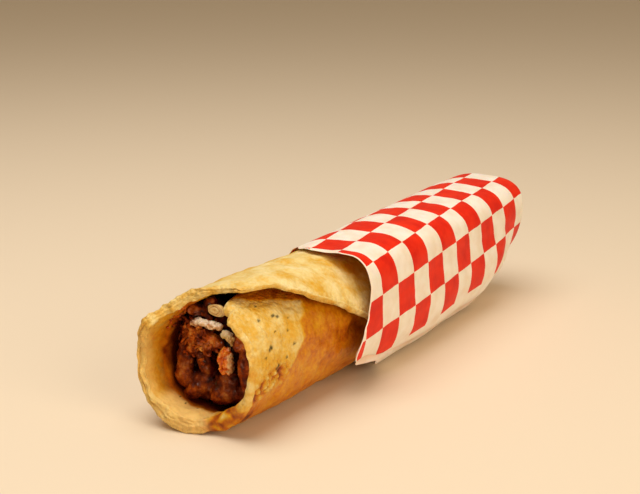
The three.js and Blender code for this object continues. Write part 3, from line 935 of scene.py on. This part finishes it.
def fibresOn(heap):
    # single torn fibres lying on the face, and crumbs and drops on the wall at the upper left
    surface = pointsOf(heap) / mm
    models = shapeLumps(2, 0.9, 60, 3.1, 2)
    fibres = []
    for k in range(filling["fibres"]):
        y = random.gauss(shredCentre[0], 4.6)
        z = random.gauss(shredCentre[1], 3.6)
        close = surface[np.hypot(surface[:, 1] - y, surface[:, 2] - z) < 0.8]
        if len(close) == 0:
            continue
        sizes = draw((0.3, 0.55), (0.3, 0.6), (0.7, 1.5))
        turned = (*draw((0, fullTurn), (-0.4, 0.4)), 0)
        fibres.append(putCopy(models[k % 2], sizes, turned, (close[:, 0].max(), y, z)))
        paintAll(fibres[-1], *draw((0.3, 1.0)))
    for k in range(filling["crumbs"]):
        turn, x = draw((0.24, 0.34), (89, 96))
        radius = breadRadiusAt(turn, x) - roll["thickness"] / 2 - 0.2
        centre = onRoll(roll["start"] + turn * fullTurn, radius, x).ravel() / mm
        size = random.uniform(0.25, 0.6)
        turned = (*draw((0, fullTurn), (0, fullTurn)), 0)
        fibres.append(putCopy(models[k % 2], (size, size, 1.3 * size), turned, centre))
        paintAll(fibres[-1], *draw((0.8, 1.0)))
    removeAll(models)
    return fibres


def makeHeap():
    # the pieces and shreds on the face, run together under the sauce
    random.seed(filling["seed"])
    models = shapeLumps(3, 0.8, 0, 3.7, 4)
    fine = shapeLumps(3, 1.3, 20, 2.3, 3)
    frontX, steps = filling["faceX"] - 2, filling["heapSteps"]
    pieces = [makeFillingBody(filling["heapBackX"], frontX, steps, 1)]
    for k, (halfSizes, turned, centre) in enumerate(largePieces):
        pieces.append(putCopy(models[k % 3], halfSizes, turned, centre))
    for k in range(filling["shreds"]):
        y = random.gauss(shredCentre[0], 4.0)
        z = random.gauss(shredCentre[1], 3.4)
        away = math.hypot(y - shredCentre[0], z - shredCentre[1])
        x = filling["faceX"] + 1.6 + 1.4 * random.random() - 0.14 * away
        sizes = draw((0.5, 0.8), (0.5, 0.8), (1.6, 3.2))
        turned = draw((0, fullTurn), (-0.6, 0.6), (-0.6, 0.6))
        pieces.append(putCopy(fine[k % 3], sizes, turned, (x, y, z)))
    heap = joinAll(pieces, "heap")
    removeAll(models + fine)
    runTogether(heap, filling["voxel"], 2)
    free = smoothStep(pointsOf(heap)[:, 0] / mm, 80, 84)  # behind, it stays within its solid
    roughen(heap, 0.25, 2.4, 0, free)
    roughen(heap, 0.22, 0.95, 8, free)
    points = pointsOf(heap)
    x, y, z = (points / mm).T
    hollow = np.exp(-np.hypot((y - shadedHollow[0]) / 2.2, (z - shadedHollow[1]) / 3.0) ** 2)
    points[:, 0] -= 5.0 * mm * hollow * free
    movePoints(heap, points)
    away = np.hypot((y - shredCentre[0]) / 6.5, (z - shredCentre[1]) / 5.0)
    # lighter round the shreds; painted shade deeper in and in the hollow
    tone = 0.75 * np.exp(-away ** 2) + 0.12 * (x - 89) - 0.8 * hollow
    tone += 0.3 * softNoise(y / 1.6, z / 1.6, x / 1.6)
    tone += 0.35 * smoothStep(y, 1, 4)  # the right wall catches more light
    paintValue(heap, "tone", tone)
    return joinAll([heap] + fibresOn(heap), "heap")


def makeFilling():
    frontX, steps = filling["bodyFrontX"], filling["lengthSteps"]
    body = makeFillingBody(filling["backX"], frontX, steps, 0)
    return joinAll([makeHeap(), body], "saucedChickenFilling")


def saucedChicken():
    # roasted chicken torn up in a thick dark sauce: wet gloss, brown fibres where the sauce is thin
    # the tone paint also holds painted shade deeper in and painted light on the right wall
    mat = newMaterial("chicken in dark sauce")
    patches = addNoise(mat, 4.2, 6, 0.62)
    dark = addRamp(mat, patches, [
        (0.32, "#120100"), (0.45, "#2C0400"), (0.56, "#4E0C01"), (0.68, "#7C2602")])
    light = addRamp(mat, patches, [
        (0.34, "#5A1602"), (0.46, "#9A3A04"), (0.57, "#CC6410"), (0.68, "#EBA44C")])
    return addSurface(mat, {
        "Base Color": addMix(mat, readValue(mat, "tone"), dark, light),
        "Roughness": 0.45, "IOR": 1.38, "Specular IOR Level": 0.2, "Coat Roughness": 0.12,
        "Normal": addBump(mat, addNoise(mat, 0.9, 4), 0.35, 0.7),
        "Coat Weight": addRange(mat, addNoise(mat, 1.6, 2), 0.56, 0.64, 0.0, 0.9)})


finishPiece(makeFilling(), saucedChicken(), "chicken_filling")


# The loose pieces that stand out of the filling

def looseMaterial(look):
    # cooked food under a film of sauce: patchy, soft inside, wet, and paler where it is painted so
    mat = newMaterial(look["finish"])
    tone = addRamp(mat, addNoise(mat, look["patchSize"], 5), look["tones"])
    return addSurface(mat, {
        "Base Color": addMix(mat, readValue(mat, "tone"), tone, colour(look["edge"])),
        "Roughness": look["roughness"], "IOR": 1.4, "Coat Weight": look["coat"],
        "Normal": addBump(mat, addNoise(mat, 0.7, 3), 0.25, 0.6), "Coat Roughness": 0.15,
        "Subsurface Weight": look["scatter"], "Subsurface Radius": (1.0, 0.5, 0.2),
        "Subsurface Scale": 1 * mm})


def fitToBox(piece, node):  # as large as its solid, and in its place
    low, high = (np.array(corner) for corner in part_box(node))
    points = pointsOf(piece)
    middle, reach = (points.max(0) + points.min(0)) / 2, (points.max(0) - points.min(0)) / 2
    points = (low + high) / 2 + (points - middle) * (high - low) / 2 / reach
    movePoints(piece, points)
    return (points - (low + high) / 2) / ((high - low) / 2)  # -1 to 1 over the box


def makeTornPiece(name, node, look):
    # small lumps run together: place and half sizes of each in millimetres, and its turn
    seed = look["seed"]
    models = shapeLumps(2, 1.1, seed, 5, 3)
    pieces = [putCopy(models[k % 2], halfSizes, turned, centre)
              for k, (centre, halfSizes, turned) in enumerate(look["lumps"])]
    piece = joinAll(pieces, name)
    removeAll(models)
    runTogether(piece, look["voxel"], 1)
    roughen(piece, 0.45, 2.0, seed)
    roughen(piece, 0.32, 0.9, seed)
    return piece, fitToBox(piece, node)


chunk = {
    "lumps": [  # strands side by side, torn off at different heights
        ((0, -2.0, -0.4), (1.8, 1.0, 3.4), (0.1, 0, 0)),
        ((0.6, -0.8, 0.3), (2.0, 1.1, 4.4), (-0.06, 0, 0)),
        ((0.5, 0.6, -0.2), (2.2, 1.1, 4.6), (0.1, 0.1, 0)),
        ((0.9, 1.7, 0.8), (1.6, 0.8, 3.2), (0, 0, 0)),
        ((1.0, 0.9, 3.6), (1.2, 0.9, 1.2), (0.6, 0, 0)),
        ((1.2, -0.6, -3.8), (1.2, 1.2, 1.0), (0, 0.5, 0)),
        ((1.6, 1.9, -1.0), (0.9, 0.6, 1.6), (0.3, 0, 0)),
    ],
    "voxel": 0.22, "seed": 31, "finish": "roast chicken", "edge": "#FBD69A",
    "tones": [(0.32, "#A63402"), (0.47, "#DC6208"), (0.58, "#F28A1C"), (0.7, "#FABC62")],
    "patchSize": 2.2, "roughness": 0.36, "scatter": 0.15, "coat": 0.25,
}
chickenChunk, over = makeTornPiece("roastChickenChunk", "chicken_chunk", chunk)
# pale down the right edge in the edge colour: a painted highlight
ragged = softNoise(over[:, 2] * 3, over[:, 1] * 2, 1.5)
paintValue(chickenChunk, "tone", smoothStep(over[:, 1] + 0.5 * ragged, 0.35, 0.8) * 0.85)
finishPiece(chickenChunk, looseMaterial(chunk), "chicken_chunk")

onion = {
    "lumps": [
        ((0, -1.1, 0.9), (1.6, 1.8, 1.4), (0.4, 0, 0)),
        ((0.2, 0.3, 0.0), (1.7, 2.2, 1.6), (-0.6, 0, 0)),
        ((0, 1.2, -0.9), (1.5, 1.6, 1.4), (-0.7, 0, 0)),
    ],
    "voxel": 0.2, "seed": 44, "finish": "stewed onion", "edge": "#E6D2AC",
    "tones": [(0.35, "#9A6A28"), (0.5, "#C79E58"), (0.65, "#D8BC80")],
    "patchSize": 2.0, "roughness": 0.3, "scatter": 0.25, "coat": 0.25,
}
onionChunk, over = makeTornPiece("softOnionChunk", "onion_chunk", onion)
paintValue(onionChunk, "tone", 0.8 * smoothStep(over[:, 2], 0.1, 0.7))
finishPiece(onionChunk, looseMaterial(onion), "onion_chunk")

strip = {
    "lumps": [
        ((0, -4.6, -0.2), (1.3, 2.6, 1.2), (0.15, 0, 0)),
        ((0.2, -2.2, 0.3), (1.5, 3.0, 1.4), (-0.1, 0, 0)),
        ((0.1, 0.6, 0.2), (1.5, 3.2, 1.3), (0.12, 0, 0)),
        ((0.1, 3.4, -0.2), (1.4, 2.8, 1.3), (-0.2, 0, 0)),
        ((0.6, -3.6, 0.7), (0.9, 1.5, 0.7), (0.4, 0, 0)),
        ((0.7, 1.4, -0.7), (1.0, 1.6, 0.7), (-0.5, 0, 0)),
    ],
    "voxel": 0.2, "seed": 57, "finish": "onion in pale sauce", "edge": "#FFF0DC",
    "tones": [(0.33, "#A2561A"), (0.46, "#D8A468"), (0.6, "#F0CEA4")],
    "patchSize": 1.6, "roughness": 0.3, "scatter": 0.12, "coat": 0.5,
}
onionStrip, over = makeTornPiece("creamyOnionStrip", "onion_strip", strip)
# paler along the top: its creamy sauce, with a painted highlight
paler = smoothStep(over[:, 2] + 0.6 * softNoise(over[:, 1] * 4, 0.5), -0.3, 0.5)
paintValue(onionStrip, "tone", 0.9 * paler)
finishPiece(onionStrip, looseMaterial(strip), "onion_strip")

sliced = {
    "grooves": [(0.5, 0.6, 0.07), (0.45, 0.0, 0.22), (0.25, 0.82, 0.05)],  # depth, place, width
    "turned": (0.2, math.pi / 2 - 0.15, 0),
    "finish": "fried onion slice", "edge": "#EBCF90",
    "tones": [(0.35, "#A86E20"), (0.5, "#CF9A44"), (0.65, "#DDB468")],
    "patchSize": 1.6, "roughness": 0.32, "scatter": 0.2, "coat": 0.2,
}


def makeOnionSlice():
    # a slice cut across, its rings parted by grooves
    bpy.ops.mesh.primitive_uv_sphere_add(segments=80, ring_count=56, radius=1)
    piece = bpy.context.object
    piece.name = piece.data.name = "onionSlice"
    points = pointsOf(piece)
    r = np.hypot(points[:, 0], points[:, 1])
    grooves = sum(depth * bump(r, place, width) for depth, place, width in sliced["grooves"])
    points[:, 2] = np.sign(points[:, 2]) * np.abs(points[:, 2]) ** 0.6 * (1 - grooves)
    around = np.arctan2(points[:, 1], points[:, 0])
    points[:, :2] *= (1 + 0.06 * np.sin(2 * around + 1) + 0.04 * np.sin(5 * around))[:, None]
    points += 0.05 * softNoise(points[:, 0] * 3, points[:, 1] * 3, points[:, 2] * 3)[:, None]
    movePoints(piece, points)
    piece.data.transform(Euler(sliced["turned"]).to_matrix().to_4x4())
    fitToBox(piece, "onion_slice")
    # darker in the grooves: painted shade
    paintValue(piece, "tone", 0.8 - 1.6 * grooves)
    return piece


finishPiece(makeOnionSlice(), looseMaterial(sliced), "onion_slice")


# Table, light and camera

studio = {
    "tableDrop": 0.0002,  # the table lies just below the part
    "aim": (0.02, 0, 0.02),  # both lamps point here
    "lamps": [  # name, place, size, power and tint
        ("soft overhead", (0.15, -0.07, 0.8), 0.8, 5.9, (1, 0.94, 0.87)),
        ("warm side fill", (0.34, 0.84, 0.38), 0.7, 4.2, (1, 0.82, 0.58)),
    ],
    "worldTint": "#FFE4C0",
    "worldStrength": 0.36,
}


def makeStage():
    bpy.ops.mesh.primitive_plane_add(size=6, location=(0, 0, -studio["tableDrop"]))
    floor = bpy.context.object
    floor.name = "paleTable"
    mat = newMaterial("plain pale board")
    addSurface(mat, {"Base Color": colour("#E6D8C2"), "Roughness": 0.7})
    floor.data.materials.append(mat)


def addAreaLight(name, spot, size, power, tint):
    light = bpy.data.lights.new(name, "AREA")
    light.shape, light.size, light.energy, light.color = "DISK", size, power, tint
    lamp = bpy.data.objects.new(name, light)
    bpy.context.scene.collection.objects.link(lamp)
    lamp.location = spot
    towards = Vector(studio["aim"]) - lamp.location
    lamp.rotation_euler = towards.to_track_quat("-Z", "Y").to_euler()


def makeCamera():
    view = {
        "spot": (0.4518, 0.2368, 0.17775),
        "forward": (-0.8414, -0.4731, -0.2610),
        "right": (-0.4901, 0.8717, 0),
        "up": (-0.2275, -0.1279, 0.9653),
        "lens": 77.88,
        "sensor": 36,
    }
    camera = bpy.data.cameras.new("camera")
    camera.lens, camera.sensor_width = view["lens"], view["sensor"]
    camera.clip_start, camera.clip_end = 0.01, 20
    holder = bpy.data.objects.new("camera", camera)
    bpy.context.scene.collection.objects.link(holder)
    axes = Matrix([view["right"], view["up"], [-c for c in view["forward"]]]).transposed()
    holder.matrix_world = Matrix.Translation(view["spot"]) @ axes.to_4x4()
    bpy.context.scene.camera = holder


makeStage()
for lamp in studio["lamps"]:
    addAreaLight(*lamp)
world = bpy.data.worlds.new("studio")
bpy.context.scene.world = world
world.use_nodes = True
background = world.node_tree.nodes["Background"].inputs
background["Color"].default_value = colour(studio["worldTint"])
background["Strength"].default_value = studio["worldStrength"]
makeCamera()
bpy.context.scene.view_settings.view_transform = "Standard"  # the colours stay as they are given
print("stage, lights and camera ready")
